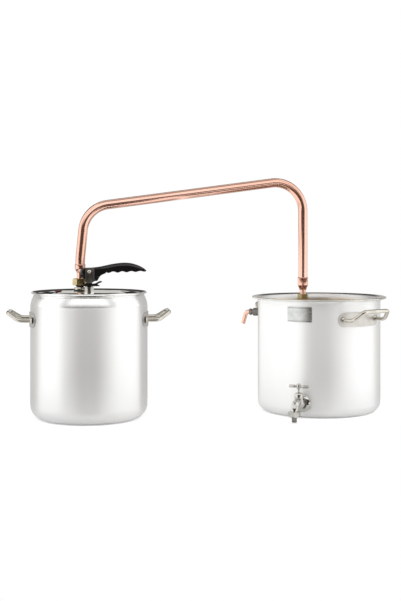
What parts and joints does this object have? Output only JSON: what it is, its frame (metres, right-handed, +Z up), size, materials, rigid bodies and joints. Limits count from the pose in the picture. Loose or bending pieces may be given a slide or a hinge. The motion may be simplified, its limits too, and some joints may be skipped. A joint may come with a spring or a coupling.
{
  "type": "alembic still",
  "caption": "Copper-armed stainless alembic still: clamped-lid boiler pot, 22 mm vapour arm with union nuts, and an open cooling pot holding a condenser coil, with tap and spouts.",
  "frame": {"origin": "centre of the bounding box's base, on the surface that both pots stand on", "axes": "+Z up, +X from the boiler to the condenser, -Y the side of the condenser's tap"},
  "size_m": [0.89, 0.3832, 0.5496],
  "materials": {
    "satin_steel": "satin stainless sheet with a soft vertical sheen",
    "chrome": "polished nickel-chrome plate",
    "copper": "bright drawn copper tube",
    "brass": "machined brass",
    "black_plastic": "moulded black phenolic",
    "rubber": "matte moulded rubber",
    "plug_rubber": "dark red moulded rubber"
  },
  "bodies": {
    "root": {"boiler_pot": "satin_steel", "boiler_handle_plate_left": "satin_steel", "boiler_handle_rod_left": "satin_steel", "boiler_handle_plate_right": "satin_steel", "boiler_handle_rod_right": "satin_steel", "strongback_bar": "satin_steel", "condenser_pot": "satin_steel", "condenser_handle_plate_front": "satin_steel", "condenser_handle_rod_front": "satin_steel", "condenser_handle_plate_back": "satin_steel", "condenser_handle_rod_back": "satin_steel", "label_plate": "satin_steel", "overflow_fitting": "chrome", "outlet_fitting": "chrome", "tap_body": "chrome", "tap_flange": "chrome", "tap_bonnet": "chrome", "hose_barb": "chrome", "condenser_coil": "copper", "overflow_spout": "copper", "outlet_spout": "copper", "coil_inlet_fitting": "brass", "overflow_back_nut": "brass", "overflow_collar": "brass", "outlet_back_nut": "brass", "outlet_collar": "brass", "tap_back_nut": "brass", "cam_pad": "black_plastic", "overflow_seal": "rubber", "outlet_seal": "rubber", "tap_outer_seal": "rubber", "tap_inner_seal": "rubber"},
    "lid": {"lid": "satin_steel", "lid_gasket": "rubber", "lid_stud": "satin_steel", "stud_nut": "satin_steel", "lid_fitting": "satin_steel", "lid_fitting_washer": "rubber", "lid_fitting_nut": "brass", "pivot_pin": "satin_steel"},
    "lever": {"lever_handle": "black_plastic", "lever_cam_plate_front": "satin_steel", "lever_cam_plate_back": "satin_steel"},
    "safety_plug": {"safety_plug": "plug_rubber"},
    "arm": {"vapour_arm": "copper", "reducer_boiler": "copper", "reducer_condenser": "copper", "arm_stub_boiler": "copper", "arm_stub_condenser": "copper", "olive_boiler": "brass", "olive_condenser": "brass"},
    "boiler_nut": {"union_nut_boiler": "brass"},
    "condenser_nut": {"union_nut_condenser": "brass"},
    "tap_spindle": {"tap_spindle": "chrome", "tap_handle": "chrome"},
    "hose_nut": {"hose_nut": "chrome"}
  },
  "joints": [
    {"name": "cam_lever", "type": "hinge", "parent": "lid", "child": "lever", "pos_m": [-0.2594, 0, 0.3314], "axis": [-0.1011, -0.9949, 0], "range_deg": [0, 90]},
    {"name": "lid_drop", "type": "slide", "parent": "root", "child": "lid", "axis": [0, 0, -1], "range_m": [0, 0.005]},
    {"name": "safety_plug_lift", "type": "slide", "parent": "lid", "child": "safety_plug", "axis": [0, 0, 1], "range_m": [0, 0.012]},
    {"name": "arm_lift", "type": "slide", "parent": "root", "child": "arm", "axis": [0, 0, 1], "range_m": [0, 0.06]},
    {"name": "boiler_nut_turn", "type": "hinge", "parent": "arm", "child": "boiler_nut", "pos_m": [-0.276, 0.0424, 0.306], "axis": [0, 0, 1], "continuous": true},
    {"name": "condenser_nut_turn", "type": "hinge", "parent": "arm", "child": "condenser_nut", "pos_m": [0.2593, 0.0424, 0.264], "axis": [0, 0, 1], "continuous": true},
    {"name": "tap_handle_turn", "type": "hinge", "parent": "root", "child": "tap_spindle", "pos_m": [0.19214, -0.14717, 0.07], "axis": [0, 0, 1], "range_deg": [0, 720]},
    {"name": "hose_nut_turn", "type": "hinge", "parent": "root", "child": "hose_nut", "pos_m": [0.1728, -0.17753, 0.021], "axis": [0, 0, 1], "continuous": true}
  ],
  "couplings": [
    {"joint": "lid_drop", "follows": "cam_lever", "m_per_rad": 0.003183}
  ]
}
